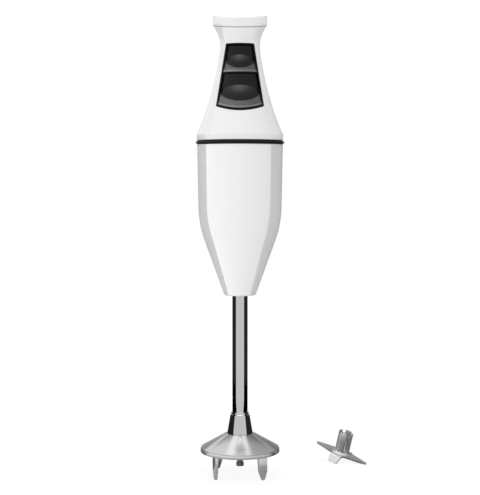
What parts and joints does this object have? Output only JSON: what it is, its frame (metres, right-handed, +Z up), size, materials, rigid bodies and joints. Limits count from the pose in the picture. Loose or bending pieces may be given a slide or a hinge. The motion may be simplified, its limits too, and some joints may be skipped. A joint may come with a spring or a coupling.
{
  "type": "immersion blender",
  "caption": "Stick-type immersion blender with a waisted grip, press buttons on its front, a bell guard on feet, and its cross blade taken off beside it.",
  "frame": {"origin": "on the drive shaft's axis, level with the tips of the guard's feet", "axes": "+Z up the shaft towards the end cap, -Y towards the front with the buttons, +X towards the loose blade"},
  "size_m": [0.1287, 0.0854, 0.3405],
  "materials": {
    "white_plastic": "glossy",
    "black_rubber": "satin",
    "grey_gasket": "matte",
    "dark_plastic": "satin",
    "chrome": "polished",
    "steel": "satin",
    "blade_steel": "satin",
    "bronze": "satin",
    "copper": "enamelled",
    "core_steel": "satin",
    "bracket_alloy": "cast",
    "grey_plastic": "matte",
    "ivory_plastic": "matte",
    "signal_plastic": "satin",
    "carbon": "matte",
    "circuit_board": "satin",
    "wire_red": "satin",
    "capacitor_yellow": "satin",
    "fan_plastic": "satin"
  },
  "bodies": {
    "housing": {"guard_bell": "steel", "guard_hub": "chrome", "shaft_tube": "chrome", "shaft_seal": "black_rubber", "lower_shaft_bush": "bronze", "upper_shaft_bush": "bronze", "shaft_nut": "steel", "shaft_o_ring": "black_rubber", "motor_casing": "white_plastic", "casing_seal": "black_rubber", "upper_housing": "white_plastic", "end_cap": "white_plastic", "cap_gasket": "grey_gasket", "cord_gland": "black_rubber", "cord_clamp": "grey_plastic", "clamp_screws": "steel", "switch_bezel": "dark_plastic", "upper_button_spring": "steel", "lower_button_spring": "steel", "switch_carrier": "ivory_plastic", "upper_microswitch": "grey_plastic", "lower_microswitch": "grey_plastic", "control_board": "circuit_board", "suppression_capacitor": "capacitor_yellow", "suppression_chokes": "copper", "terminal_block": "ivory_plastic", "lead_wires": "wire_red", "lower_bearing_balls": "steel", "lower_bearing_outer": "steel", "upper_bearing_balls": "steel", "upper_bearing_outer": "steel", "lower_motor_bracket": "bracket_alloy", "upper_motor_bracket": "bracket_alloy", "stator_core": "core_steel", "field_coils": "copper", "motor_bolts": "steel", "brush_holders": "ivory_plastic", "carbon_brushes": "carbon", "brush_springs": "steel", "housing_screws": "steel"},
    "rotor": {"drive_shaft": "steel", "drive_pin": "steel", "shaft_coupling": "bronze", "motor_shaft": "steel", "armature_core": "core_steel", "armature_windings": "copper", "commutator": "copper", "cooling_fan": "fan_plastic", "lower_bearing_inner": "steel", "upper_bearing_inner": "steel"},
    "upper_switch": {"upper_button": "dark_plastic", "upper_plunger": "signal_plastic"},
    "lower_switch": {"lower_button": "dark_plastic", "lower_plunger": "signal_plastic"},
    "blade": {"blade_tube": "blade_steel", "cross_blade": "blade_steel", "blade_clip": "steel"}
  },
  "joints": [
    {"name": "drive_spin", "type": "hinge", "parent": "housing", "child": "rotor", "pos_m": [0, 0, 0.0165], "axis": [0, 0, 1], "continuous": true},
    {"name": "upper_button_press", "type": "slide", "parent": "housing", "child": "upper_switch", "axis": [0, 1, 0], "range_m": [0, 0.0015], "stiffness_N_per_m": 500, "springref_m": -0.003, "deforming": ["upper_button_spring"]},
    {"name": "lower_button_press", "type": "slide", "parent": "housing", "child": "lower_switch", "axis": [0, 1, 0], "range_m": [0, 0.0015], "stiffness_N_per_m": 500, "springref_m": -0.003, "deforming": ["lower_button_spring"]},
    {"name": "blade_lift", "type": "slide", "parent": "housing", "child": "blade", "axis": [0, 0, 1], "range_m": [0, 0.12]}
  ]
}
